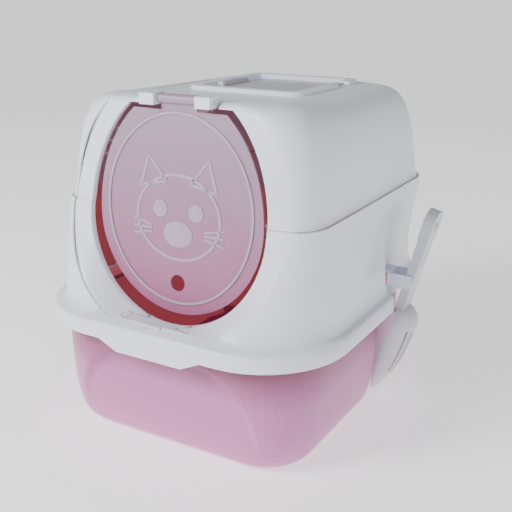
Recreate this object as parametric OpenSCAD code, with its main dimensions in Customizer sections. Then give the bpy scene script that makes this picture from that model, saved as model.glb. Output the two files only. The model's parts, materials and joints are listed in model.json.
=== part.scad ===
// Hooded cat litter box: a tray, a two-part hood with a swing door and a roof hatch, and a scoop.
// Millimetres, +Z up, front towards -Y, origin on the floor under the middle of the hood's skirt.

/* [Hood] */
// Width over the hood's skirt
base_w = 400; // [360:5:500]
// Depth over the hood's skirt
base_d = 460; // [420:5:600]
// Height of the seam between the lower hood and the cover
seam_z = 292; // [270:1:350]
// Height of the cover from the seam to its flat roof
cover_h = 122; // [110:1:150]
// Height of the skirt's lower edge
skirt_z = 145; // [120:1:180]
// Height of the skirt's band
skirt_h = 20; // [16:1:30]
// Wall thickness of the hood and the tray
wall = 2.6; // [2:0.1:3.5]
// How far the skirt's front tongue hangs below its edge
tongue_drop = 12; // [0:1:18]
// How far the brow over the door stands above the roof
brow_rise = 8; // [0:1:14]

/* [Door] */
// Half the doorway's width at the seam
door_hw = 123; // [95:1:125]
// Height of the doorway's sill above the skirt's lower edge
sill_h = 16; // [14:1:30]
// Gap between the flap and the doorway
flap_gap = 8.5; // [6:0.5:14]
// Thickness of the flap
flap_t = 2.5; // [2:0.1:4]
// Diameter of the flap's finger hole
finger_d = 20; // [12:1:30]

/* [Roof hatch] */
// Width of the hatch opening
hatch_w = 140; // [100:2:160]
// Depth of the hatch opening
hatch_d = 152; // [100:2:200]

/* [Tray] */
// How far the tray's wall stands inside the skirt
tray_gap = 20; // [16:1:30]
// Thickness of the tray's bottom
tray_t = 3; // [2:0.1:5]

/* [Scoop] */
// Length of the scoop
scoop_len = 272; // [230:1:290]
// Width of the scoop's blade
scoop_w = 64; // [50:1:68]
// Number of sifting slots in the blade
slot_n = 5; // [3:1:6]

/* [Hidden] */

hw = base_w / 2;
hd = base_d / 2;
run_gap = 0.05;      // radial clearance of a pin that turns
move_gap = 0.5;      // gap between faces that move past each other
pin_r = 2.5;         // hinge pins of the door, the hatch and the cover

// y of a point that lies d behind the skirt's front edge
function fy(d) = -hd + d;
function lerp(a, b, t) = a + (b - a) * t;
function clamp01(t) = min(1, max(0, t));
function smooth(t) = let(c = clamp01(t)) c * c * (3 - 2 * c);

// ---- rings ------------------------------------------------------------------------------------
// A ring is one level of a shell: a rounded rectangle whose rear right side may be stepped in.
// Its list holds [z, side inset, front inset, rear inset, front radius, rear radius, step, brow share].
step_y = fy(256);    // where the rear right side steps in
step_run = 10;       // length of that step
taper = 5;           // how much the sides close in towards the rear, per side
front_n = 10;        // segments in a front corner
rear_n = 8;          // segments in a rear corner
brow_y0 = fy(104);   // the brow's height fades out between these two depths
brow_y1 = fy(172);
tongue_x = [46, 72]; // half-widths where the tongue is full and where it ends

function arc(cx, cy, r, a0, a1, n) =
    [for (i = [0:n]) let(a = lerp(a0, a1, i / n)) [cx + r * cos(a), cy + r * sin(a)]];

function plan(s, t) = let(a = hw - s[1] - t, f = -hd + s[2] + t, b = hd - s[3] - t,
                          rf = max(4, s[4] - t), rr = max(4, s[5] - t), c = s[6])
    concat(
        arc(-a + rf, f + rf, rf, 180, 270, front_n),
        [for (x = [-tongue_x[1], -tongue_x[0], 0, tongue_x[0], tongue_x[1]])
            abs(x) < a - rf - 2 ? [x, f] : [sign(x) * (a - rf - 1), f]],
        arc(a - rf, f + rf, rf, 270, 360, front_n),
        [[a, lerp(f + rf, step_y, 0.5)], [a, step_y - 1], [a - c * 0.5, step_y + step_run / 2],
         [a - c, step_y + step_run]],
        arc(a - c - rr, b - rr, rr, 0, 90, rear_n),
        arc(-a + rr, b - rr, rr, 90, 180, rear_n));

function side_taper(y) = 1 - taper / hw * smooth((y - fy(100)) / (base_d * 0.8));
function brow(y) = brow_rise * (1 - smooth((y - brow_y0) / (brow_y1 - brow_y0)));
function tongue(x) = -tongue_drop * (1 - smooth((abs(x) - tongue_x[0]) / (tongue_x[1] - tongue_x[0])));

// points of a ring, moved inwards by t; low marks the skirt's lower edge, which carries the tongue
function ring(s, t = 0, low = false) =
    [for (p = plan(s, t)) [p[0] * side_taper(p[1]), p[1],
        s[0] + s[7] * brow(p[1]) + (low && p[1] < fy(30) ? tongue(p[0]) : 0)]];

module loft(rings, closed) {
    n = len(rings[0]);
    m = len(rings);
    quads = [for (k = [0:closed ? m - 1 : m - 2]) for (i = [0:n - 1])
        let(j = (i + 1) % n, q = (k + 1) % m) each
        [[k * n + i, k * n + j, q * n + j], [k * n + i, q * n + j, q * n + i]]];
    caps = closed ? [] : [[for (i = [n - 1:-1:0]) i], [for (i = [0:n - 1]) (m - 1) * n + i]];
    polyhedron([for (r = rings) each r], [for (f = concat(quads, caps)) [for (i = [len(f) - 1:-1:0]) f[i]]],
               convexity = 8);
}

// rows between two rows of a table, on a smooth curve through all of them
function curve(a, b, c, d, t) = b + (c - a) * t / 2 + (a * 2 - b * 5 + c * 4 - d) * t * t / 2
    + (b * 3 - a - c * 3 + d) * t * t * t / 2;
function refine(rows, first, n) = [for (i = [0:len(rows) - 1])
    each i < first || i > len(rows) - 2 ? [rows[i]] :
        [for (k = [0:n - 1]) curve(rows[max(first, i - 1)], rows[i], rows[i + 1],
                                   rows[min(len(rows) - 1, i + 2)], k / n)]];

// ---- levels of the three shells ---------------------------------------------------------------
skirt_top = skirt_z + skirt_h;
ledge_z = skirt_top + 1.5;
recess = 18;         // depth of the rear right recess in the lower hood
wall_h = seam_z - ledge_z;

lower_rows = [
    [skirt_z, 0, 0, 0, 108, 92, 24, 0],
    [skirt_top - 1.5, 0, 0, 0, 108, 92, 24, 0],
    [skirt_top + 0.5, 2, 2, 2, 106, 90, 23, 0],
    [ledge_z, 8, 11, 5, 101, 86, 19, 0],
    [ledge_z + wall_h * 0.05, 11.5, 19, 8, 93, 81, recess, 0],
    [ledge_z + wall_h * 0.27, 14, 28.5, 11, 78, 74, recess, 0],
    [ledge_z + wall_h * 0.5, 16.5, 37.5, 14.5, 65, 68, recess * 0.75, 0],
    [ledge_z + wall_h * 0.74, 19.5, 48, 18.5, 53, 61, recess * 0.35, 0],
    [ledge_z + wall_h * 0.88, 21, 54, 21.5, 47, 57, recess * 0.1, 0],
    [seam_z, 22, 59, 24.5, 42, 54, 0, 0]];
lower_levels = refine(lower_rows, 4, 2);

cover_z = seam_z + move_gap;
roof_z = seam_z + cover_h;
upper_rows = [
    [cover_z, 25, 60.5, 26.5, 42, 54, 0, 0],
    [cover_z + cover_h * 0.07, 27.5, 62.5, 28, 42, 54, 0, 0],
    [cover_z + cover_h * 0.34, 30.5, 66, 33, 42, 52, 0, 0],
    [cover_z + cover_h * 0.6, 36, 69, 38.5, 42, 48, 0, 0.1],
    [cover_z + cover_h * 0.79, 43.5, 71.5, 44, 43, 44, 0, 0.35],
    [cover_z + cover_h * 0.9, 52, 74, 49, 46, 42, 0, 0.6],
    [cover_z + cover_h * 0.965, 64, 77, 54, 50, 40, 0, 0.85],
    [roof_z - 0.6, 82, 84, 61, 54, 36, 0, 1],
    [roof_z, 96, 174, 69, 30, 30, 0, 0]];
upper_last = len(upper_rows) - 1;
upper_levels = concat(refine([for (i = [0:upper_last - 1]) upper_rows[i]], 0, 2), [upper_rows[upper_last]]);

rim_z = skirt_z + 5; // the tray's rim
tray_recess = 20;    // depth of the rear right recess in the tray
tray_rows = [
    [0, tray_gap + 38, 58, 56, 45, 48, 6, 0],
    [rim_z * 0.02, tray_gap + 27, 47, 46, 52, 55, 9, 0],
    [rim_z * 0.08, tray_gap + 17, 37, 37, 58, 60, 14, 0],
    [rim_z * 0.2, tray_gap + 10, 30, 30, 64, 66, 18, 0],
    [rim_z * 0.4, tray_gap + 5, 25, 25, 70, 70, tray_recess, 0],
    [rim_z * 0.7, tray_gap + 1, 21, 21, 78, 76, tray_recess, 0],
    [rim_z, tray_gap, 19, 20, 82, 80, tray_recess, 0]];
tray_levels = refine(tray_rows, 1, 2);

// ---- doorway ----------------------------------------------------------------------------------
sill_z = skirt_z + sill_h;
door_mid_z = seam_z - 7;
door_top_z = roof_z + 0.5;
door_up = cover_h * 1.29;      // upper half-height of the doorway's egg shape
door_n = 72;

// y of the hood's front wall at height z
function front_y(z) = z < seam_z ? fy(lerp(19.5, 60, (z - ledge_z) / wall_h))
                                 : fy(lerp(61.5, 77, (z - seam_z) / cover_h));

// outline of the doorway grown by g; up and low are the two half-heights
function egg(g, up, low, n) = [for (i = [0:n - 1]) let(a = 360 * i / n, s = sin(a))
    [(door_hw + g) * cos(a), door_mid_z + (s > 0 ? up + g : low + g) * s]];

// The surround runs from a crest out on the wall to the doorway's lip, which is set back at the sill.
crest_hw = door_hw + 31;
crest_z = ledge_z - 15;   // where the crest's curve would end if the skirt didn't cut it off
crest_up = door_up + 16;
foot_cut = 1;             // the ledge is opened this far above its edge
sill_back = 43;           // depth of the sill's lip behind the skirt's front
lip_t = wall + 1.4;
crest_sink = 0.9;         // the crest lies this deep in the cover
function lip_y(z) = z < seam_z ? fy(lerp(sill_back, 60, (z - sill_z) / (seam_z - sill_z)))
                               : front_y(z) + 0.5;
function flat_hw(z) = z < seam_z ? lerp(91, 131, (z - ledge_z) / wall_h)
                                 : lerp(131, 106, (z - seam_z) / cover_h);
function corner_r(z) = z < seam_z ? lerp(100, 45, (z - ledge_z) / wall_h) : 43;
function corner_bow(x, z) = let(r = corner_r(z), d = max(0, abs(x) - flat_hw(z) * hw / 200))
    r - sqrt(r * r - d * d);
function surround_ring(k, dy) = [for (i = [0:door_n - 1]) let(a = 360 * i / door_n, c = cos(a), s = sin(a),
    dz = door_mid_z + (s > 0 ? door_up : door_mid_z - sill_z) * s,
    cz = max(ledge_z, door_mid_z + (s > 0 ? crest_up : door_mid_z - crest_z) * s),
    x = lerp(door_hw, crest_hw, k) * c, z = lerp(dz, cz, k))
    [x, lerp(lip_y(dz), front_y(cz), k) + corner_bow(x, z) + dy + (cz > seam_z ? crest_sink * k : 0), z]];
module surround() {
    loft([surround_ring(1.06, 1), surround_ring(0.95, -0.4), surround_ring(0.8, 0.4),
          surround_ring(0.02, -0.4), surround_ring(0, 0.4), surround_ring(0, lip_t + 3),
          surround_ring(0.1, lip_t + 3), surround_ring(0.14, lip_t), surround_ring(0.95, wall), surround_ring(1.06, wall + 0.4)], true);
}
module surround_hole() {
    intersection() {
        translate([0, fy(125), 0]) rotate([90, 0, 0]) linear_extrude(base_d)
            polygon([for (p = surround_ring(0.98, 0)) [p[0], p[2]]]);
        translate([-hw, fy(16), ledge_z + foot_cut])
            cube([base_w, 110, door_top_z - ledge_z - foot_cut]);
    }
}

// ---- tray -------------------------------------------------------------------------------------
lip_w = 8;           // the tray's rim turns outwards by this much
catch_w = 20;
module tray_shell() {
    outer = [for (s = tray_levels) ring(s)];
    top = tray_levels[len(tray_levels) - 1];
    lip = [top[0], top[1] - lip_w, top[2] - lip_w, top[3] - lip_w, top[4] + lip_w, top[5] + lip_w,
           top[6] + lip_w, 0];
    inner = [for (i = [len(tray_levels) - 1:-1:0]) let(s = tray_levels[i])
        ring([max(s[0], tray_t) + (i == 0 ? 0 : tray_t * 0.4 * (1 - s[0] / rim_z)), s[1], s[2], s[3], s[4],
              s[5], s[6], 0], i == 0 ? tray_t * 2 : wall)];
    lip_low = [lip[0] - wall, lip[1], lip[2], lip[3], lip[4], lip[5], lip[6], 0];
    under = [top[0] - wall - 0.5, top[1], top[2], top[3], top[4], top[5], top[6], 0];
    body = [for (i = [0:len(tray_levels) - 2]) outer[i]];
    loft(concat(body, [ring(under), ring(lip_low), ring(lip)], inner), false);
}
module tray() {
    color("#C79FBB") tray_shell();
}

// ---- front catch ------------------------------------------------------------------------------
catch_y = fy(13);
module front_catch() {
    color("#E0E3E8") {
        translate([-catch_w / 2, catch_y, rim_z]) cube([catch_w, 2, skirt_h - 6]);
        translate([-catch_w / 2, catch_y, rim_z]) cube([catch_w, 8, 2]);
        translate([-catch_w / 2, catch_y - 1.4, ledge_z + 2]) cube([catch_w, 3.4, 1.6]);
        translate([-catch_w / 2, catch_y, ledge_z - 4]) cube([catch_w, 2, 7.6]);
    }
}

// ---- cover hinge ------------------------------------------------------------------------------
knuckle_r = 6;
hinge_y = hd - 25 + knuckle_r + 3;
hinge_z = seam_z;
hinge_x = [-95, 95];
knuckle_w = 14;
module knuckle(x, w) {
    translate([x - w / 2, hinge_y, hinge_z]) rotate([0, 90, 0]) cylinder(h = w, r = knuckle_r, $fn = 48);
}
module lower_knuckles() {
    for (x = hinge_x) for (s = [-1, 1]) {
        difference() {
            union() {
                knuckle(x + s * (knuckle_w + move_gap), knuckle_w);
                translate([x + s * (knuckle_w + move_gap) - knuckle_w / 2, hinge_y - 13, hinge_z - 14])
                    cube([knuckle_w, 15, 12]);
            }
            pin_bore(x, 0);
        }
    }
}
module pin_bore(x, gap) {
    translate([x - 2 * knuckle_w, hinge_y, hinge_z]) rotate([0, 90, 0])
        cylinder(h = 4 * knuckle_w, r = pin_r + gap, $fn = 48);
}
module upper_knuckles() {
    for (x = hinge_x) difference() {
        union() {
            knuckle(x, knuckle_w);
            translate([x - knuckle_w / 2, hinge_y - 14, hinge_z + 1]) cube([knuckle_w, 15, 12]);
        }
        pin_bore(x, run_gap);
    }
}
module cover_hinge_pins() {
    color("#D5D8DD") for (x = hinge_x) translate([x - 1.5 * knuckle_w - move_gap, hinge_y, hinge_z])
        rotate([0, 90, 0]) cylinder(h = 3 * knuckle_w + 2 * move_gap, r = pin_r, $fn = 48);
}

// ---- lower hood -------------------------------------------------------------------------------
module lower_shell() {
    n = len(lower_levels);
    outer = [for (i = [0:n - 1]) ring(lower_levels[i], 0, i == 0)];
    inner = [for (i = [n - 1:-1:0]) let(s = lower_levels[i])
        ring([s[0] - (i > 0 && i < 5 ? wall : 0), s[1], s[2], s[3], s[4], s[5], s[6], 0], wall, i == 0)];
    loft(concat(outer, inner), true);
}
module lower_body() {
    difference() {
        union() {
            difference() {
                lower_shell();
                surround_hole();
            }
            intersection() {
                surround();
                translate([-hw, -hd, 0]) cube([base_w, base_d, seam_z]);
            }
        }
        translate([-catch_w / 2 - 1, catch_y - 2, skirt_z + 12]) cube([catch_w + 2, 4.6, 14]);
    }
}
module lower_hood() {
    color("#E4E7EC") {
        difference() {
            union() {
                resize([0, 0, 0]) lower_body();
                clip_boss();
            }
            peg_bore();
        }
        lower_knuckles();
    }
}

// ---- upper hood -------------------------------------------------------------------------------
lug_x = 28;          // inner face of each door lug
lug_w = 20;
lug_d = 13.5;
lug_front = 10;      // from the axis to the lug's front
lug_tail = 8;        // the upper part of the lug reaches this much further back
lug_up = 5.5;
tail_drop = 3.2;     // lower face of the lug's tail below the axis
door_axis_y = fy(76);
door_axis_z = roof_z + brow_rise;
hatch_y = fy(298);   // middle of the hatch opening
ridge_w = 13;
ridge_h = 5;
module rounded_plate(w, d, r, h) {
    linear_extrude(h) hull() for (x = [-1, 1]) for (y = [-1, 1])
        translate([x * (w / 2 - r), y * (d / 2 - r)]) circle(r, $fn = 24);
}
module upper_shell() {
    n = len(upper_levels);
    outer = [for (s = upper_levels) ring(s)];
    inner = [for (i = [n - 1:-1:0]) let(s = upper_levels[i])
        ring([s[0] - (i == n - 1 ? wall : i == 0 ? 0 : wall * (i / (n - 1)) * 0.9), s[1], s[2], s[3], s[4],
              s[5], s[6], s[7]], i == n - 1 ? wall * 2 : wall)];
    difference() {
        loft(outer, false);
        loft([for (i = [len(inner) - 1:-1:0]) i == len(inner) - 1 ?
            [for (p = inner[i]) [p[0], p[1], p[2] - 1]] : inner[i]], false);
    }
}
lid_z = roof_z - 4;  // underside of the hatch lid
seat_w = 6;          // ledge that carries the lid
hatch_r = 8;
hatch_pin_r = 1.8;
hatch_axis_x = -hatch_w / 2 + 6;
hatch_axis_z = roof_z + 1;
hatch_ear_y = [-34, 34];
notch_l = 34;        // finger notch in the ridge's right side
notch_y = hatch_y + 35;
vent_x = 87 - hw;    // the vent slit's left side, on the roof's left
vent_w = 2.4;
vent_l = 120;
module upper_body() {
    difference() {
        union() {
            difference() {
                upper_shell();
                surround_hole();
            }
            intersection() {
                surround();
                translate([-hw, -hd, cover_z]) cube([base_w, base_d, door_top_z - cover_z]);
            }
            translate([0, hatch_y, lid_z - 3])
                rounded_plate(hatch_w + 2 * ridge_w, hatch_d + 2 * ridge_w, 16, ridge_h + 7);
        }
        translate([0, hatch_y, lid_z]) rounded_plate(hatch_w, hatch_d, hatch_r, 60);
        translate([0, hatch_y, lid_z - 20])
            rounded_plate(hatch_w - 2 * seat_w, hatch_d - 2 * seat_w, 6, 60);
        translate([hatch_w / 2 - 1, notch_y - notch_l / 2, lid_z + 5]) cube([ridge_w + 2, notch_l, 20]);
        translate([-lug_x + 0.5, fy(50), door_top_z]) cube([2 * lug_x - 1, 50, 30]);
        translate([lug_x + lug_w + 0.5, fy(50), door_top_z - 1]) cube([4, 36, 30]);
        translate([vent_x, hatch_y - 108, roof_z - 10]) cube([vent_w, vent_l, 20]);
    }
}
module door_lugs() {
    for (s = [-1, 1]) difference() {
        translate([s * (lug_x + lug_w / 2) - lug_w / 2, door_axis_y - lug_front, 0]) {
            translate([0, 0, door_top_z]) cube([lug_w, lug_d, door_axis_z + lug_up - door_top_z]);
            translate([0, 0, door_axis_z - tail_drop]) cube([lug_w, lug_d + lug_tail, lug_up + tail_drop]);
        }
        door_bore(0);
    }
}
module door_bore(gap) {
    translate([-lug_x - lug_w, door_axis_y, door_axis_z]) rotate([0, 90, 0])
        cylinder(h = 2 * (lug_x + lug_w), r = pin_r + gap, $fn = 48);
}
module hatch_bore(gap) {
    translate([hatch_axis_x, hatch_y - 45, hatch_axis_z]) rotate([-90, 0, 0])
        cylinder(h = 90, r = hatch_pin_r + gap, $fn = 48);
}
module hatch_ears() {
    for (y = hatch_ear_y) difference() {
        translate([hatch_axis_x - 7, hatch_y + y - 3, lid_z - 1])
            cube([10.5, 6, hatch_axis_z - lid_z + 4.5]);
        hatch_bore(0);
    }
}
module upper_hood() {
    color("#E8EAEE") {
        resize([0, 0, 0]) upper_body();
        upper_knuckles();
        door_lugs();
        hatch_ears();
    }
}

// ---- door flap --------------------------------------------------------------------------------
// The flap hangs from its axle with its plate behind the axis at the top and ahead of it at the bottom.
neck_hw = lug_x - 2.5;
neck_in = neck_hw - 1;
barrel_r = 5.5;
flap_drop = 13;      // top edge of the plate below the axis
flap_lean = 3.5;
flap_back = 2;       // middle of the plate behind the axis
ring_in = 12;        // the raised ring's distance inside the flap's edge
ring_w = 3;
ring_h = 1.5;
finger_up = 46;      // the finger hole's middle above the sill
module flap_outline(g) {
    translate([0, -door_axis_z]) intersection() {
        polygon(egg(-flap_gap - g, door_up, door_mid_z - sill_z, 72));
        translate([-hw, 0]) square([base_w, door_axis_z - flap_drop - g * 0.2]);
    }
}
// the raised ring is an ellipse that ends below the plate's top edge
module ring_outline(g) {
    low = sill_z + flap_gap + ring_in - door_axis_z;
    up = -flap_drop - 1;
    half = door_hw - flap_gap - ring_in - g;
    translate([0, (low + up) / 2])
        polygon([for (a = [0:5:355]) [half * cos(a), ((up - low) / 2 - g) * sin(a)]]);
}
module flap_plate(y, t) {
    translate([0, y, 0]) rotate([90, 0, 0]) linear_extrude(t) children();
}
module door_flap() {
    y = flap_back + flap_t / 2;
    color("#B3A0B0") difference() {
        translate([0, door_axis_y, door_axis_z]) union() {
            rotate([-flap_lean, 0, 0]) difference() {
                union() {
                    flap_plate(y, flap_t) flap_outline(0);
                    flap_plate(y - flap_t + 0.2, ring_h + 0.2) difference() {
                        ring_outline(0);
                        ring_outline(ring_w);
                    }
                    translate([-neck_in, y - flap_t + 0.15, -flap_drop - 2])
                        cube([2 * neck_in, flap_t - 0.3, flap_drop + 3.5]);
                }
                translate([0, 20, sill_z + finger_up - door_axis_z]) rotate([90, 0, 0])
                    cylinder(h = 30, d = finger_d, $fn = 48);
            }
            translate([-neck_hw, 0, 0]) rotate([0, 90, 0])
                cylinder(h = 2 * neck_hw, r = barrel_r, $fn = 48);
        }
        door_bore(run_gap);
    }
}
module flap_axle() {
    color("#D5D8DD") translate([-lug_x - lug_w + 3, door_axis_y, door_axis_z]) rotate([0, 90, 0])
        cylinder(h = 2 * (lug_x + lug_w - 3), r = pin_r, $fn = 48);
}

// ---- roof hatch -------------------------------------------------------------------------------
lid_t = 2.5;
lid_gap = 0.8;
module roof_hatch() {
    x0 = hatch_axis_x + 4.5;
    x1 = hatch_w / 2 - lid_gap;
    color("#B9B2BC") difference() {
        union() {
            translate([(x0 + x1) / 2, hatch_y, lid_z + 0.3])
                rounded_plate(x1 - x0, hatch_d - 2 * lid_gap, hatch_r, lid_t);
            translate([hatch_axis_x, hatch_y + hatch_ear_y[0] + 3.6, hatch_axis_z]) rotate([-90, 0, 0])
                cylinder(h = hatch_ear_y[1] - hatch_ear_y[0] - 7.2, r = 3.6, $fn = 48);
            translate([hatch_axis_x, hatch_y + hatch_ear_y[0] + 3.6, lid_z + 0.9])
                cube([8, hatch_ear_y[1] - hatch_ear_y[0] - 7.2, 2.2]);
            translate([x1 - 6, notch_y - 12, lid_z + 1]) cube([6, 24, 5.5]);
            translate([x1 - 6, notch_y - 12, lid_z + 5.4]) cube([14, 24, 1.8]);
        }
        hatch_bore(run_gap);
    }
}
module hatch_axle() {
    color("#D5D8DD") translate([hatch_axis_x, hatch_y - 37, hatch_axis_z]) rotate([-90, 0, 0])
        cylinder(h = 74, r = hatch_pin_r, $fn = 48);
}

// ---- scoop and its clip -----------------------------------------------------------------------
// The scoop hangs beside the box with its open side towards the wall: its pan bellies out to +X.
scoop_lean = 15;
scoop_tip = [hw - 41, fy(301), 11];
blade_l = 132;
scoop_t = 2.2;
pan_d = 27;
handle_w = 28;
handle_t = 12;
head_w = 32;
head_t = 14;
// along the blade: [share of its length, share of its half-width, share of its depth]
pan_rows = [[0, 0.42, 0.1], [0.05, 0.68, 0.24], [0.15, 0.86, 0.46], [0.35, 0.97, 0.78], [0.6, 1, 0.95],
            [0.83, 0.97, 1], [0.93, 0.82, 0.88], [0.985, 0.58, 0.6], [1, 0.4, 0.4]];
pan_n = 18;
function pan_ring(r, g, lift) = let(w = r[1] * scoop_w / 2 - g, d = r[2] * pan_d - g, z = r[0] * blade_l)
    concat([for (i = [0:pan_n]) let(a = lerp(-90, 90, i / pan_n)) [d * cos(a), w * sin(a), z + lift]],
           [[-g * 3, w, z + lift], [-g * 3, -w, z + lift]]);
module pan() {
    rows = refine(pan_rows, 0, 2);
    m = len(rows);
    difference() {
        loft([for (r = rows) pan_ring(r, 0.01, 0)], false);
        loft([for (i = [1:m - 3]) pan_ring(rows[i], scoop_t, i == 1 ? scoop_t * 0.4 : 0)], false);
    }
}
function handle_end(w) = scoop_len - w / 2;
module scoop_handle() {
    translate([-handle_t / 2 + 1, -handle_w / 2, blade_l - 9])
        cube([handle_t, handle_w, handle_end(head_w) - blade_l + 9]);
    translate([-head_t / 2 + 1, -head_w / 2, handle_end(head_w) - 26]) cube([head_t, head_w, 26]);
    translate([-head_t / 2 + 1, 0, handle_end(head_w)]) rotate([0, 90, 0])
        cylinder(h = head_t, d = head_w, $fn = 48);
}
module scoop() {
    slot_w = 4;
    pitch = (scoop_w - 22) / slot_n;
    color("#B4B4BC") translate(scoop_tip) rotate([0, scoop_lean, 0]) difference() {
        union() {
            resize([0, 0, 0]) pan();
            scoop_handle();
        }
        for (i = [0:slot_n - 1]) let(y = (i - (slot_n - 1) / 2) * pitch)
            translate([pan_d * 0.3, y - slot_w / 2, 34 + abs(y) * 0.4]) cube([pan_d, slot_w, 66]);
        translate([-handle_t, 0, handle_end(head_w) - 3]) rotate([0, 90, 0])
            cylinder(h = 3 * handle_t, d = 9, $fn = 32);
    }
}

// A clip on the recess wall holds the scoop's handle from both sides; a peg fixes it in its boss.
clip_z = skirt_top + 2;
clip_h = 18;
clip_t = 2.2;
clip_x = hw - 24;    // flat face of the boss
clip_root = hw - 40; // where the boss starts inside the wall
clip_gap = 0.6;      // between the handle and each finger
peg_r = 3;
peg_l = 6;
clip_reach = 33;
clip_w = handle_w + 2 * clip_gap + 2 * clip_t;
module clip_boss() {
    translate([clip_root, scoop_tip[1] - clip_w / 2, clip_z]) cube([clip_x - clip_root, clip_w, clip_h]);
}
module peg_bore() {
    translate([clip_x - peg_l, scoop_tip[1], clip_z + clip_h / 2]) rotate([0, 90, 0])
        cylinder(h = peg_l + 1, r = peg_r, $fn = 48);
}
module scoop_clip() {
    color("#D2D4DA") {
        translate([clip_x, scoop_tip[1] - clip_w / 2, clip_z]) cube([clip_t + 0.8, clip_w, clip_h]);
        for (s = [0, 1]) translate([clip_x, scoop_tip[1] + (s - 0.5) * clip_w - s * clip_t, clip_z])
            cube([clip_reach, clip_t, clip_h]);
        translate([clip_x - peg_l, scoop_tip[1], clip_z + clip_h / 2]) rotate([0, 90, 0])
            cylinder(h = peg_l + 0.5, r = peg_r, $fn = 48);
    }
}

tray();
lower_hood();
upper_hood();
door_flap();
flap_axle();
roof_hatch();
hatch_axle();
cover_hinge_pins();
scoop();
scoop_clip();
front_catch();
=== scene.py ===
"""Looks of a hooded cat litter box: moulded shells, a swing flap, a roof hatch and a scoop."""
import json
import math

import bmesh
import bpy
from mathutils import Matrix, Vector
from mathutils.bvhtree import BVHTree


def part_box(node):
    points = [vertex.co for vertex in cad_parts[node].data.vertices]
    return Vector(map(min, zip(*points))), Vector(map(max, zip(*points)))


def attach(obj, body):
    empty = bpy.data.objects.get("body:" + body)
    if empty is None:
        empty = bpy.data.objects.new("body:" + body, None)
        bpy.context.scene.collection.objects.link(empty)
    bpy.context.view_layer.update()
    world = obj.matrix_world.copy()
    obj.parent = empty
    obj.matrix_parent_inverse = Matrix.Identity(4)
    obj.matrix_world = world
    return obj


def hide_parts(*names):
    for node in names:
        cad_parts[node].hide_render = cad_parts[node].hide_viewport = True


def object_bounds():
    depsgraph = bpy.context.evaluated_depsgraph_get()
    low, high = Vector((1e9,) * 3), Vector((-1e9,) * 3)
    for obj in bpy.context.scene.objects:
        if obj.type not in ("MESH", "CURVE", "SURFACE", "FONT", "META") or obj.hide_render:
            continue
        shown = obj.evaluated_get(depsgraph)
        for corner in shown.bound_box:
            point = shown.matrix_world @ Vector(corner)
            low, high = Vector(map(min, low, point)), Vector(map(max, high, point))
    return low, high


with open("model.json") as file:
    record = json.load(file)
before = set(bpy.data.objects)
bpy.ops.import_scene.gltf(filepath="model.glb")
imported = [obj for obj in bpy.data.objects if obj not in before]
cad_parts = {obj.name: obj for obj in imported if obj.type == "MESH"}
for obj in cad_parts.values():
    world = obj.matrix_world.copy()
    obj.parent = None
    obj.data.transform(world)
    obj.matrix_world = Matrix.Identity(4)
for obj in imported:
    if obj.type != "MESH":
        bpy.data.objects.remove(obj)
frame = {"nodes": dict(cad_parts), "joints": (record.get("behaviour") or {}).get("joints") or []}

bl_info = {
    "name": "Hooded Litter Box Looks",
    "version": (1, 0, 0),
    "blender": (4, 5, 0),
    "location": "3D View > Sidebar > Litter Box",
    "description": "Builds the visible pieces of a hooded cat litter box around its CAD frame",
    "category": "Object",
}

MM = 0.001
CAD_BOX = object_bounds()

# Tray: the arch pressed into its front
FRONT_BAND = 120 * MM          # how far back the arch can reach
FOOT_BAND = 2 * MM             # the tray's bottom below this height isn't divided
ARCH_CUTS = 5                  # new points along each front edge, so that the arch is smooth
ARCH_TOP = 138 * MM
ARCH_CLEAR = 12 * MM           # nothing higher than this above the arch's top is moved
ARCH_BASE = 0.1                # where the arch's curve starts, as a share of its height
ARCH_POWER = 2.6               # 2 would make the arch an ellipse, and more squares it
ARCH_EDGE = 0.9                # the press starts to fade at this share of the arch's reach
ARCH_FOOT = 4 * MM             # the press starts to deepen at this height,
ARCH_FULL = 0.75               # and is full at this share of the arch's top
ARCH_SIDE_LOSS = 0.45          # how much shallower the arch is at its sides
TRAY_SHADOW_START = 0.15               # painted shadow: the tray's pink darkens between these shares of its height, where the hood's skirt shades it
TRAY_SHADOW_FULL = 0.93

# Hood
LIP_BAND = 80 * MM             # the doorway's lip at the front is white all round
ROOF_BAND = 26 * MM            # the cover's top, which is white on both faces
LEVEL_FACE = 0.8               # a face whose normal rises more than this isn't a wall

# Flap and its picture
FLAP_LEAN = math.radians(3.5)
FLAP_FRONT = 0.75 * MM         # from the axle's plane to the plate's front
FLAP_LOW_BAND = 20 * MM        # the flap's painted tint, the tray's pink light seen through it, runs between these bands at its foot and its top
FLAP_HIGH_BAND = 40 * MM
RING_PROUD = 0.2 * MM          # faces that stand out this far, below the neck, are the raised ring
NECK_BAND = 15 * MM
RELIEF_SINK = 0.3 * MM         # how deep a raised line is set into the plate
RELIEF_BEVEL = 0.45            # its rounding, as a share of its height
CREASE = math.radians(60)      # sharper edges of a raised line are rounded
HEAD_DROP = -136 * MM          # the picture's middle below the flap's axle
HEAD_HALF = Vector((60 * MM, 52 * MM))
EAR_CORNERS = 3
EAR_ROUND = 5 * MM
EAR_TURN = math.radians(12)
WHISKER_FAN = math.radians(12)

# Plastics
MERGE_DISTANCE = 0.02 * MM     # the CAD's loose triangles are joined across this distance
SHELL_SMOOTH = 50              # degrees between faces that are shaded as one surface
SMALL_SMOOTH = 40
PLASTIC_IOR = 1.49
SHEEN_PATCH = 45 * MM          # width of the patches in which a moulding's gloss varies
TONE_PATCH = 120 * MM          # and of those in which its colour does
CLEAR_PATCH = 60 * MM
CLEAR_GRAIN = 0.04 * MM
INNER_GLOW = 0.3               # light that comes through the walls
INNER_ROUGHNESS = 0.45

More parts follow.
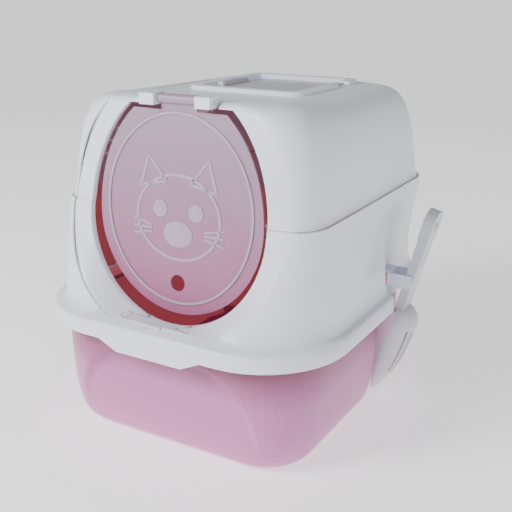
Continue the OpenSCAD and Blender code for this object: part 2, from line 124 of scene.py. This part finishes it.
# Stage
FLOOR_GLOW = 0.9
FLOOR_SIDE = 60.0
FLOOR_DROP = 0.2 * MM          # keeps the floor clear of the tray's bottom
LIGHT_TARGET = Vector((0, 0, 0.22))
KEY_LIGHT = ("key_light", Vector((-0.9, -1.6, 1.35)), LIGHT_TARGET, 0.9, 48)
FILL_LIGHT = ("fill_light", Vector((2.2, -0.5, 0.8)), LIGHT_TARGET, 1.6, 12)
HORIZON_TONE = (0.6, 0.6, 0.61, 1)
ZENITH_TONE = (0.2, 0.2, 0.21, 1)
CAMERA_PLACE = Vector((0.5515, -0.9172, 0.5488))
CAMERA_TURN = (math.radians(71.644), 0, math.radians(30.597))
CAMERA_LENS = 58.71
CAMERA_SENSOR = 36

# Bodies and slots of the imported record
TRAY_BODY = "tray_body"
HOOD_BODY = "hood_body"
COVER_BODY = "cover_body"
FLAP_BODY = "flap_body"
HATCH_BODY = "hatch_body"
SCOOP_BODY = "scoop_body"

HOOD_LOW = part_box("lower_hood")[0]
FLAP_LOW, FLAP_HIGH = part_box("door_flap")
TRAY_LOW, TRAY_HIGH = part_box("tray")


def joint_place(name):
    """The point on a hinge's axis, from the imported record."""
    joint = next(j for j in frame["joints"] if j["name"] == name)
    return Vector(joint["pos_m"])


FLAP_AXIS = joint_place("flap_swing")
# The flap's own frame: u to the right, v up along the plate from the axle's height, w out of its front
FLAP_PLACE = (Matrix.Translation(FLAP_AXIS) @ Matrix.Rotation(-FLAP_LEAN, 4, "X")
              @ Matrix.Translation((0, FLAP_FRONT, 0)) @ Matrix.Rotation(math.radians(90), 4, "X"))


def linear(hex_colour):
    """An sRGB hex colour as the linear values that the shaders take."""
    values = [int(hex_colour[i:i + 2], 16) / 255 for i in (1, 3, 5)]
    return tuple(v / 12.92 if v <= 0.04045 else ((v + 0.055) / 1.055) ** 2.4 for v in values)


def shade(colour, factor):
    """A linear colour made lighter or darker, with its alpha."""
    return tuple(min(1, c * factor) for c in colour[:3]) + (1,)


# ---- properties -----------------------------------------------------------------------------------
def colour_property(name, description, hex_colour):
    return bpy.props.FloatVectorProperty(name=name, description=description, subtype="COLOR", size=3,
                                         min=0, max=1, default=linear(hex_colour))


def length_property(name, description, default, low, high):
    return bpy.props.FloatProperty(name=name, description=description, default=default, min=low, max=high,
                                   subtype="DISTANCE", unit="LENGTH")


class LitterBoxColours(bpy.types.PropertyGroup):
    """Colours of the plastics, some with painted light and shade in them."""

    hood: colour_property("Hood", "White of the hood's two shells", "#EEF2FE")
    cover_inside: colour_property("Cover inside", "The cover's inner walls, in the light that comes through",
                                  "#DCC6CB")
    hood_inside: colour_property("Hood inside", "The lower hood's inner walls, tinted by the tray's light",
                                 "#C2626A")
    tray: colour_property("Tray", "Pink of the tray", "#CF82B4")
    # Painted shadow: the dark pink that the tray's wall takes in the shade under the hood's skirt
    tray_skirt_shadow: colour_property("Tray, under the rim", "The tray's pink where its wall is shadowed",
                              "#86405F")
    # Painted shade: the darker, redder pink of the tray's inside, which is lit only through the pink walls
    tray_inside_shade: colour_property("Tray inside", "The tray's inner walls, where its pink deepens",
                                 "#C4606C")
    # Painted light: the flap is clear, and these tints stand for the hood's and the tray's light seen
    # through it, pinkest at its foot
    flap_top: colour_property("Flap, top", "Upper part of the clear flap", "#AC95AB")
    flap_low: colour_property("Flap, bottom", "Lower part of the clear flap", "#B0668F")
    relief: colour_property("Relief", "The flap's raised lines, which are thicker plastic", "#C0AABF")
    lid: colour_property("Roof hatch", "Clear lid in the roof", "#DAD6E0")
    scoop: colour_property("Scoop", "Clear plastic of the scoop", "#E4E4EE")
    pin: colour_property("Pins", "Acetal of the hinge pins", "#DCDDE0")
    floor: colour_property("Floor", "The pale floor", "#F6F6F7")


class LitterBoxSizes(bpy.types.PropertyGroup):
    """Sizes that the looks add to the CAD frame."""

    edge_round: length_property("Edge rounding", "Radius that the mould leaves on an edge",
                                0.8 * MM, 0.2 * MM, 3 * MM)
    grain: length_property("Grain", "Width of a grain in the spark-eroded surface, drawn coarse to show",
                           1.1 * MM, 0.3 * MM, 4 * MM)
    relief_height: length_property("Relief height", "How far the flap's picture stands proud",
                                   0.9 * MM, 0.3 * MM, 1.4 * MM)
    line_width: length_property("Line width", "Width of the picture's lines", 3.8 * MM, 1 * MM, 6 * MM)
    arch_depth: length_property("Arch depth", "How far the arch is pressed into the tray's front",
                                16 * MM, 0, 20 * MM)
    arch_half: length_property("Arch half-width", "Half the arch's width", 132 * MM, 60 * MM, 150 * MM)


def colours():
    return bpy.context.scene.litter_box_colours


def sizes():
    return bpy.context.scene.litter_box_sizes


# ---- materials ------------------------------------------------------------------------------------
def add_node(tree, kind, inputs=None, **settings):
    """Adds a node with its settings; an input takes a value, or another node's socket as a link."""
    node = tree.nodes.new(kind)
    for name, value in settings.items():
        setattr(node, name, value)
    for name, value in (inputs or {}).items():
        if isinstance(value, bpy.types.NodeSocket):
            tree.links.new(value, node.inputs[name])
        else:
            node.inputs[name].default_value = value
    return node


def blank_material(name):
    material = bpy.data.materials.new(name)
    material.use_nodes = True
    material.node_tree.nodes.clear()
    return material, material.node_tree


def colour_ramp(tree, factor, stops):
    ramp = add_node(tree, "ShaderNodeValToRGB", {"Fac": factor})
    elements = ramp.color_ramp.elements
    while len(elements) < len(stops):
        elements.new(0.5)
    for element, (place, colour) in zip(elements, stops):
        element.position = place
        element.color = colour
    return ramp.outputs["Color"]


def moulded_surface(tree, roughness, grain_depth):
    """Grain, gloss and rounded edges that every moulded piece has: (coordinates, roughness, normal)."""
    size = sizes()
    place = add_node(tree, "ShaderNodeTexCoord").outputs["Object"]
    grain = add_node(tree, "ShaderNodeTexNoise", {
        "Vector": place, "Scale": 1 / size.grain, "Detail": 2.0, "Roughness": 0.6})
    sheen = add_node(tree, "ShaderNodeTexNoise", {"Vector": place, "Scale": 1 / SHEEN_PATCH, "Detail": 3.0})
    gloss = add_node(tree, "ShaderNodeMapRange", {
        "Value": sheen.outputs["Fac"], "From Min": 0.3, "From Max": 0.7,
        "To Min": roughness - 0.04, "To Max": roughness + 0.05})
    edge = add_node(tree, "ShaderNodeBevel", {"Radius": size.edge_round}, samples=4)
    bump = add_node(tree, "ShaderNodeBump", {
        "Height": grain.outputs["Fac"], "Strength": 0.35, "Distance": grain_depth,
        "Normal": edge.outputs["Normal"]})
    return place, gloss.outputs["Result"], bump.outputs["Normal"]


def height_of(tree, place):
    return add_node(tree, "ShaderNodeSeparateXYZ", {"Vector": place}).outputs["Z"]


def finish_material(tree, shader):
    add_node(tree, "ShaderNodeOutputMaterial", {"Surface": shader.outputs["BSDF"]})


def moulded_polypropylene(name, colour, roughness=0.36, grain_depth=0.06 * MM, glow=0.12, lit=0.0,
                          rim=None):
    """Injection-moulded polypropylene: satin, a fine spark-eroded grain, soft light just under the skin.
    An inner wall is lit by what comes through the plastic from outside. rim is painted shadow: the deeper
    colour that a tinted wall turns to towards its top, where the hood's skirt shades it."""
    material, tree = blank_material(name)
    place, gloss, normal = moulded_surface(tree, roughness, grain_depth)
    if rim:
        # Painted shadow: the pink darkens with height towards the tray's top, where the hood's skirt shades
        # it
        share = add_node(tree, "ShaderNodeMapRange", {
            "Value": height_of(tree, place), "From Min": TRAY_HIGH.z * TRAY_SHADOW_START,
            "From Max": TRAY_HIGH.z * TRAY_SHADOW_FULL})
        tone = colour_ramp(tree, share.outputs["Result"], [
            (0.0, shade(colour, 1)), (0.55, shade(colour, 0.9)), (1.0, shade(rim, 1))])
    else:
        flow = add_node(tree, "ShaderNodeTexNoise", {
            "Vector": place, "Scale": 1 / TONE_PATCH, "Detail": 2.0})
        tone = colour_ramp(tree, flow.outputs["Fac"], [
            (0.3, shade(colour, 0.965)), (0.7, shade(colour, 1.0))])
    shader = add_node(tree, "ShaderNodeBsdfPrincipled", {
        "Base Color": tone, "Roughness": gloss, "Normal": normal, "IOR": PLASTIC_IOR,
        "Subsurface Weight": glow, "Subsurface Radius": (2.4, 1.9, 1.9), "Subsurface Scale": MM,
        "Emission Color": shade(colour, 1), "Emission Strength": lit})
    finish_material(tree, shader)
    return material


def clear_polypropylene(name, top, low, z_low, z_high, through, roughness=0.32):
    """Unpigmented polypropylene: milky, half clear, and deeper in colour where it hangs before the tray, a
    painted tint for the tray's pink light seen through it.
    """
    material, tree = blank_material(name)
    place, gloss, normal = moulded_surface(tree, roughness, CLEAR_GRAIN)
    wander = add_node(tree, "ShaderNodeTexNoise", {
        "Vector": place, "Scale": 1 / CLEAR_PATCH, "Detail": 2.0})
    share = add_node(tree, "ShaderNodeMapRange", {
        "Value": height_of(tree, place), "From Min": z_low, "From Max": z_high})
    uneven = add_node(tree, "ShaderNodeMapRange", {
        "Value": wander.outputs["Fac"], "From Min": 0.3, "From Max": 0.7, "To Min": -0.06, "To Max": 0.06})
    factor = add_node(tree, "ShaderNodeMath", operation="ADD", use_clamp=True)
    tree.links.new(share.outputs["Result"], factor.inputs[0])
    tree.links.new(uneven.outputs["Result"], factor.inputs[1])
    tone = colour_ramp(tree, factor.outputs["Value"], [(0.0, shade(low, 1)), (1.0, shade(top, 1))])
    shader = add_node(tree, "ShaderNodeBsdfPrincipled", {
        "Base Color": tone, "Roughness": gloss, "Normal": normal, "IOR": PLASTIC_IOR,
        "Transmission Weight": through, "Subsurface Weight": 0.15, "Subsurface Radius": (2.0, 1.6, 1.8),
        "Subsurface Scale": MM})
    finish_material(tree, shader)
    return material


def lit_floor(name, colour, lit):
    """Opal acrylic lit from below, as a studio's table is: matte, with the faintest unevenness."""
    material, tree = blank_material(name)
    place = add_node(tree, "ShaderNodeTexCoord").outputs["Object"]
    cloud = add_node(tree, "ShaderNodeTexNoise", {"Vector": place, "Scale": 2.0, "Detail": 2.0})
    tone = colour_ramp(tree, cloud.outputs["Fac"], [(0.3, shade(colour, 0.99)), (0.7, shade(colour, 1.0))])
    shader = add_node(tree, "ShaderNodeBsdfPrincipled", {
        "Base Color": tone, "Roughness": 0.8, "Emission Color": shade(colour, 1), "Emission Strength": lit})
    finish_material(tree, shader)
    return material


# ---- pieces ---------------------------------------------------------------------------------------
def shown_piece(name, bm, materials, body, slot, *replaced):
    """Turns a bmesh into a piece that rides on a body and stands for CAD nodes."""
    mesh = bpy.data.meshes.new(name)
    bm.to_mesh(mesh)
    bm.free()
    piece = bpy.data.objects.new(name, mesh)
    bpy.context.collection.objects.link(piece)
    for material in materials:
        mesh.materials.append(material)
    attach(piece, body)
    if replaced:
        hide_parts(*replaced)


def smooth_by_angle(bm, degrees):
    limit = math.radians(degrees)
    for face in bm.faces:
        face.smooth = True
    for edge in bm.edges:
        edge.smooth = len(edge.link_faces) == 2 and edge.calc_face_angle(0) < limit


def merged_copy(node):
    """A CAD node's mesh with its loose triangles joined."""
    bm = bmesh.new()
    bm.from_mesh(frame["nodes"][node].data)
    bmesh.ops.remove_doubles(bm, verts=bm.verts, dist=MERGE_DISTANCE)
    return bm


def finish_node(node, material):
    """Gives a CAD node that stays its material."""
    mesh = frame["nodes"][node].data
    mesh.materials.clear()
    mesh.materials.append(material)


def mark_inside(bm, middle, low, high):
    """Faces between two corners that look across the hollow at another wall take the second material."""
    tree = BVHTree.FromBMesh(bm)
    for face in bm.faces:
        centre = face.calc_center_median()
        inward = face.normal.xy.dot((middle - centre).xy) > 0 and abs(face.normal.z) < LEVEL_FACE
        between = centre.y > low.y and low.z < centre.z < high.z
        if inward and between:
            hit = tree.ray_cast(centre + face.normal * MM, face.normal)
            face.material_index = int(hit[0] is not None)


def clamp01(value):
    return min(1.0, max(0.0, value))


def smooth_step(low, high, value):
    share = clamp01((value - low) / (high - low))
    return share * share * (3 - 2 * share)


def press_arch(bm):
    """Presses a wide arch into the tray's front: deep under its crown, running out at the foot."""
    size = sizes()
    front = TRAY_LOW.y + FRONT_BAND
    near = [e for e in bm.edges if all(v.co.y < front and v.co.z > FOOT_BAND for v in e.verts)]
    bmesh.ops.subdivide_edges(bm, edges=near, cuts=ARCH_CUTS, use_grid_fill=True)
    for vert in bm.verts:
        place = vert.co
        if place.y > front or place.z > ARCH_TOP + ARCH_CLEAR:
            continue
        across = abs(place.x) / size.arch_half
        up = max(0.0, place.z - ARCH_BASE * ARCH_TOP) / (ARCH_TOP * (1 - ARCH_BASE))
        reach = (across ** ARCH_POWER + up ** ARCH_POWER) ** (1 / ARCH_POWER)
        inside = 1 - smooth_step(ARCH_EDGE, 1.0, reach)
        foot = smooth_step(ARCH_FOOT, ARCH_TOP * ARCH_FULL, place.z)
        side = 1 - ARCH_SIDE_LOSS * clamp01(across)
        vert.co.y += size.arch_depth * inside * foot * side


def inner_wall(name, colour):
    """The same plastic on a wall's inner face, without the skin's own depth, in a colour of painted light
    and
    shade: the tint and darkness of the light that reaches the hollow through the walls, with a painted glow.
    """
    return moulded_polypropylene(name, colour, INNER_ROUGHNESS, glow=0.0, lit=INNER_GLOW)


class LITTERBOX_OT_tray(bpy.types.Operator):
    """Builds the pink tray with the arch pressed into its front"""

    bl_idname = "litterbox.tray"
    bl_label = "Tray"

    def execute(self, context):
        bm = merged_copy("tray")
        middle = (TRAY_LOW + TRAY_HIGH) / 2
        mark_inside(bm, middle, TRAY_LOW, TRAY_HIGH - Vector((0, 0, MM)))
        press_arch(bm)
        smooth_by_angle(bm, SHELL_SMOOTH)
        tint = colours()
        # The tray's pink carries a painted shadow that darkens it towards its top, under the hood's skirt
        pink = moulded_polypropylene("pink_polypropylene", tint.tray, 0.33, rim=tint.tray_skirt_shadow)
        # The tray's inner walls get painted shade: a darker, redder pink for the light that comes only
        # through the pink plastic
        pink_in_shade = inner_wall("shaded_pink_inside_polypropylene", tint.tray_inside_shade)
        shown_piece("tray_shell", bm, [pink, pink_in_shade], TRAY_BODY, "pink_tray", "tray")
        return {"FINISHED"}


class LITTERBOX_OT_hood(bpy.types.Operator):
    """Builds the hood's two white shells"""

    bl_idname = "litterbox.hood"
    bl_label = "Hood shells"

    def execute(self, context):
        tint = colours()
        white = moulded_polypropylene("white_polypropylene", tint.hood)
        behind_lip = Vector((0, HOOD_LOW.y + LIP_BAND, 0))
        for node, name, body, slot, inner, top in (
                ("lower_hood", "lower_shell", HOOD_BODY, "white_hood", tint.hood_inside, 0),
                ("upper_hood", "cover_shell", COVER_BODY, "white_cover", tint.cover_inside, ROOF_BAND)):
            low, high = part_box(node)
            bm = merged_copy(node)
            mark_inside(bm, (low + high) / 2, behind_lip, high - Vector((0, 0, top)))
            smooth_by_angle(bm, SHELL_SMOOTH)
            inside = inner_wall(name + "_inner_polypropylene", inner)
            shown_piece(name, bm, [white, inside], body, slot, node)
        return {"FINISHED"}


def raise_faces(bm, faces, height):
    """Gives flat faces a body from just under the plate's surface up to height, with softened edges."""
    verts = list({v for f in faces for v in f.verts})
    bmesh.ops.translate(bm, verts=verts, vec=(0, 0, -RELIEF_SINK))
    made = bmesh.ops.extrude_face_region(bm, geom=faces)["geom"]
    top = [v for v in made if isinstance(v, bmesh.types.BMVert)]
    bmesh.ops.translate(bm, verts=top, vec=(0, 0, height + RELIEF_SINK))
    crown = set(top)
    edges = [e for e in bm.edges if e.verts[0] in crown and e.verts[1] in crown and len(e.link_faces) == 2
             and e.calc_face_angle(0) > CREASE]
    bmesh.ops.bevel(bm, geom=edges, offset=height * RELIEF_BEVEL, segments=2, profile=0.5, affect="EDGES",
                    clamp_overlap=True, material=-1)


def joined(target, bm):
    """Adds one bmesh to another."""
    bmesh.ops.recalc_face_normals(bm, faces=bm.faces)
    mesh = bpy.data.meshes.new("part")
    bm.to_mesh(mesh)
    bm.free()
    target.from_mesh(mesh)
    bpy.data.meshes.remove(mesh)


def oval(target, middle, half_u, half_v, height, line=0.0, corners=48, turn=0.0):
    """An oval on the flap: a disc, or a closed line of the given width. Three corners make a rounded ear."""
    bm = bmesh.new()
    place = Matrix.Translation((middle[0], middle[1], 0)) @ Matrix.Rotation(turn, 4, "Z")
    bmesh.ops.create_circle(bm, cap_ends=True, segments=corners, radius=1,
                            matrix=place @ Matrix.Diagonal((half_u, half_v, 1, 1)))
    if corners == EAR_CORNERS:
        bmesh.ops.bevel(bm, geom=bm.verts[:] + bm.edges[:], offset=EAR_ROUND, segments=4, profile=0.5,
                        affect="VERTICES", clamp_overlap=True, material=-1)
    if line:
        inner = list(bm.faces)
        bmesh.ops.inset_region(bm, faces=inner, thickness=line, use_even_offset=True, use_boundary=True)
        bmesh.ops.delete(bm, geom=inner, context="FACES_ONLY")
    raise_faces(bm, list(bm.faces), height)
    joined(target, bm)


def bar(target, middle, length, width, turn, height):
    """A short round-ended line, for a whisker."""
    bm = bmesh.new()
    place = Matrix.Translation((middle[0], middle[1], 0)) @ Matrix.Rotation(turn, 4, "Z")
    bmesh.ops.create_circle(bm, cap_ends=True, segments=24, radius=width / 2)
    ends = [v for v in bm.verts if abs(v.co.x) > 1e-6]
    for vert in ends:
        vert.co.x += math.copysign((length - width) / 2, vert.co.x)
    bmesh.ops.transform(bm, matrix=place, verts=bm.verts)
    raise_faces(bm, list(bm.faces), height)
    joined(target, bm)


def cat_head(height, line):
    """A plain cat's head drawn in raised lines and discs, in the flap's own frame."""
    bm = bmesh.new()
    middle = Vector((0, HEAD_DROP))
    oval(bm, middle, HEAD_HALF.x, HEAD_HALF.y, height, line)
    for side in (-1, 1):
        ear = middle + Vector((side * 0.62 * HEAD_HALF.x, 0.93 * HEAD_HALF.y))
        oval(bm, ear, 0.42 * HEAD_HALF.x, 0.5 * HEAD_HALF.y, height, line, EAR_CORNERS,
             -side * EAR_TURN)
        eye = middle + Vector((side * 0.42 * HEAD_HALF.x, 0.16 * HEAD_HALF.y))
        oval(bm, eye, 0.17 * HEAD_HALF.x, 0.2 * HEAD_HALF.y, height)
        for k in (-1, 0, 1):
            root = middle + Vector((side * 0.84 * HEAD_HALF.x, (-0.32 + 0.13 * k) * HEAD_HALF.y))
            bar(bm, root, 0.46 * HEAD_HALF.x, line * 0.8, side * k * WHISKER_FAN, height)
    oval(bm, middle + Vector((0, -0.38 * HEAD_HALF.y)), 0.34 * HEAD_HALF.x, 0.3 * HEAD_HALF.y, height * 0.7)
    oval(bm, middle + Vector((0, -0.18 * HEAD_HALF.y)), 0.1 * HEAD_HALF.x, 0.08 * HEAD_HALF.y, height * 1.2)
    return bm


class LITTERBOX_OT_flap(bpy.types.Operator):
    """Builds the clear flap with its raised ring and a plain cat's head"""

    bl_idname = "litterbox.flap"
    bl_label = "Door flap"

    def execute(self, context):
        tint = colours()
        size = sizes()
        low_z = FLAP_LOW.z + FLAP_LOW_BAND
        high_z = FLAP_HIGH.z - FLAP_HIGH_BAND
        # Painted light: the flap turns pinker and its relief darker towards the foot, for the tray's light
        # seen through them
        clear = clear_polypropylene("clear_flap_polypropylene", tint.flap_top, tint.flap_low,
                                    low_z, high_z, 0.12)
        thick = clear_polypropylene("thick_flap_polypropylene", tint.relief, shade(tint.relief, 0.9),
                                    low_z, high_z, 0.1)
        bm = merged_copy("door_flap")
        to_flap = FLAP_PLACE.inverted()
        for face in bm.faces:
            local = to_flap @ face.calc_center_median()
            face.material_index = int(local.z > RING_PROUD and local.y < -NECK_BAND)
        picture = cat_head(size.relief_height, size.line_width)
        bmesh.ops.transform(picture, matrix=FLAP_PLACE, verts=picture.verts)
        for face in picture.faces:
            face.material_index = 1
        joined(bm, picture)
        smooth_by_angle(bm, SMALL_SMOOTH)
        shown_piece("swing_flap", bm, [clear, thick], FLAP_BODY, "clear_flap", "door_flap")
        return {"FINISHED"}


def clear_piece(node, name, body, slot, plastic, colour, through):
    """A CAD node as one piece of clear plastic."""
    low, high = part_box(node)
    clear = clear_polypropylene(plastic, colour, colour, low.z, high.z, through)
    bm = merged_copy(node)
    smooth_by_angle(bm, SMALL_SMOOTH)
    shown_piece(name, bm, [clear], body, slot, node)


class LITTERBOX_OT_hatch(bpy.types.Operator):
    """Builds the clear lid in the roof"""

    bl_idname = "litterbox.hatch"
    bl_label = "Roof hatch"

    def execute(self, context):
        clear_piece("roof_hatch", "hatch_lid", HATCH_BODY, "clear_hatch",
                    "clear_lid_polypropylene", colours().lid, 0.3)
        return {"FINISHED"}


class LITTERBOX_OT_scoop(bpy.types.Operator):
    """Builds the clear scoop"""

    bl_idname = "litterbox.scoop"
    bl_label = "Scoop"

    def execute(self, context):
        clear_piece("scoop", "litter_scoop", SCOOP_BODY, "clear_scoop",
                    "clear_scoop_polypropylene", colours().scoop, 0.2)
        return {"FINISHED"}


class LITTERBOX_OT_small_parts(bpy.types.Operator):
    """Finishes the clip, the front catch and the hinge pins"""

    bl_idname = "litterbox.small_parts"
    bl_label = "Clip, catch and pins"

    def execute(self, context):
        white = moulded_polypropylene("catch_polypropylene", colours().hood, 0.38)
        acetal = moulded_polypropylene("turned_acetal", colours().pin, 0.3, 0.02 * MM, 0.05)
        for node in ("scoop_clip", "front_catch"):
            finish_node(node, white)
        for node in ("flap_axle", "hatch_axle", "cover_hinge_pins"):
            finish_node(node, acetal)
        return {"FINISHED"}


# ---- stage ----------------------------------------------------------------------------------------
def area_light(name, place, target, side, power):
    lamp = bpy.data.lights.new(name, "AREA")
    lamp.shape = "DISK"
    lamp.size = side
    lamp.energy = power
    light = bpy.data.objects.new(name, lamp)
    bpy.context.collection.objects.link(light)
    light.location = place
    light.rotation_euler = (target - place).to_track_quat("-Z", "Y").to_euler()


class LITTERBOX_OT_stage(bpy.types.Operator):
    """Builds the pale floor, the soft studio lights and the camera"""

    bl_idname = "litterbox.stage"
    bl_label = "Stage"

    def execute(self, context):
        bm = bmesh.new()
        bmesh.ops.create_grid(bm, x_segments=1, y_segments=1, size=FLOOR_SIDE / 2)
        bmesh.ops.translate(bm, verts=bm.verts, vec=(0, 0, CAD_BOX[0][2] - FLOOR_DROP))
        mesh = bpy.data.meshes.new("studio_floor")
        bm.to_mesh(mesh)
        bm.free()
        floor = bpy.data.objects.new("studio_floor", mesh)
        context.collection.objects.link(floor)
        mesh.materials.append(lit_floor("opal_floor", colours().floor, FLOOR_GLOW))

        world = bpy.data.worlds.new("studio")
        context.scene.world = world
        world.use_nodes = True
        sky = world.node_tree
        height = height_of(sky, add_node(sky, "ShaderNodeTexCoord").outputs["Generated"])
        dome = colour_ramp(sky, height, [(0.0, HORIZON_TONE), (0.9, ZENITH_TONE)])
        sky.links.new(dome, sky.nodes["Background"].inputs["Color"])
        sky.nodes["Background"].inputs["Strength"].default_value = 1.0

        area_light(*KEY_LIGHT)
        area_light(*FILL_LIGHT)

        camera = bpy.data.objects.new("camera", bpy.data.cameras.new("camera"))
        context.collection.objects.link(camera)
        camera.data.sensor_width = CAMERA_SENSOR
        camera.data.lens = CAMERA_LENS
        camera.location = CAMERA_PLACE
        camera.rotation_euler = CAMERA_TURN
        context.scene.camera = camera
        return {"FINISHED"}


class LITTERBOX_PT_panel(bpy.types.Panel):
    """Lists the steps that build the litter box"""

    bl_idname = "LITTERBOX_PT_panel"
    bl_label = "Litter Box"
    bl_space_type = "VIEW_3D"
    bl_region_type = "UI"
    bl_category = "Litter Box"

    def draw(self, context):
        for operator in STEPS:
            self.layout.operator(operator.bl_idname)


STEPS = (LITTERBOX_OT_stage, LITTERBOX_OT_tray, LITTERBOX_OT_hood, LITTERBOX_OT_flap, LITTERBOX_OT_hatch,
         LITTERBOX_OT_scoop, LITTERBOX_OT_small_parts)
CLASSES = (LitterBoxColours, LitterBoxSizes) + STEPS + (LITTERBOX_PT_panel,)


def register():
    for cls in CLASSES:
        bpy.utils.register_class(cls)
    bpy.types.Scene.litter_box_colours = bpy.props.PointerProperty(type=LitterBoxColours)
    bpy.types.Scene.litter_box_sizes = bpy.props.PointerProperty(type=LitterBoxSizes)


def unregister():
    del bpy.types.Scene.litter_box_sizes
    del bpy.types.Scene.litter_box_colours
    for cls in reversed(CLASSES):
        bpy.utils.unregister_class(cls)


def main():
    register()
    for operator in STEPS:
        family, name = operator.bl_idname.split(".")
        getattr(getattr(bpy.ops, family), name)()


if __name__ == "__main__":
    main()
